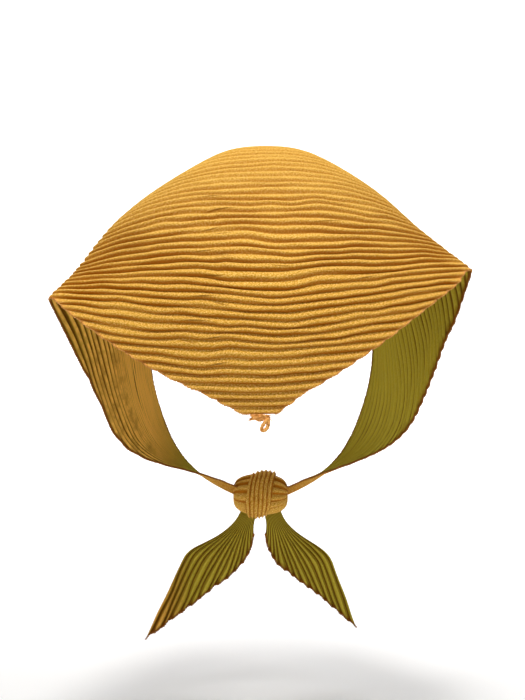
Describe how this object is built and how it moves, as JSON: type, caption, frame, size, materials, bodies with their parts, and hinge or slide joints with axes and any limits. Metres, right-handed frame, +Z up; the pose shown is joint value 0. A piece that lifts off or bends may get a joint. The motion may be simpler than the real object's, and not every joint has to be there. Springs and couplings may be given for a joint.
{
  "type": "pleated headscarf",
  "caption": "Three-cornered pleated headscarf shaped as worn, covering crown and cheeks, with side wing tips, a hanging back corner, a knot under the chin and two free ends.",
  "frame": {"origin": "top of the head, where the middle of the cloth rests on the crown", "axes": "+Z up, +Y towards the face opening, +X towards the wearer's right as seen in the picture, which is taken from behind"},
  "size_m": [0.2799, 0.2208, 0.386],
  "materials": {
    "mustard_cloth": "soft crepe weave with a slight sheen",
    "edge_thread": "matte twisted thread"
  },
  "bodies": {
    "root": {"pleated_cloth": "mustard_cloth", "chin_knot": "mustard_cloth", "tail_left": "mustard_cloth", "tail_right": "mustard_cloth", "corner_tuft": "edge_thread", "thread_loop": "edge_thread"}
  },
  "joints": []
}
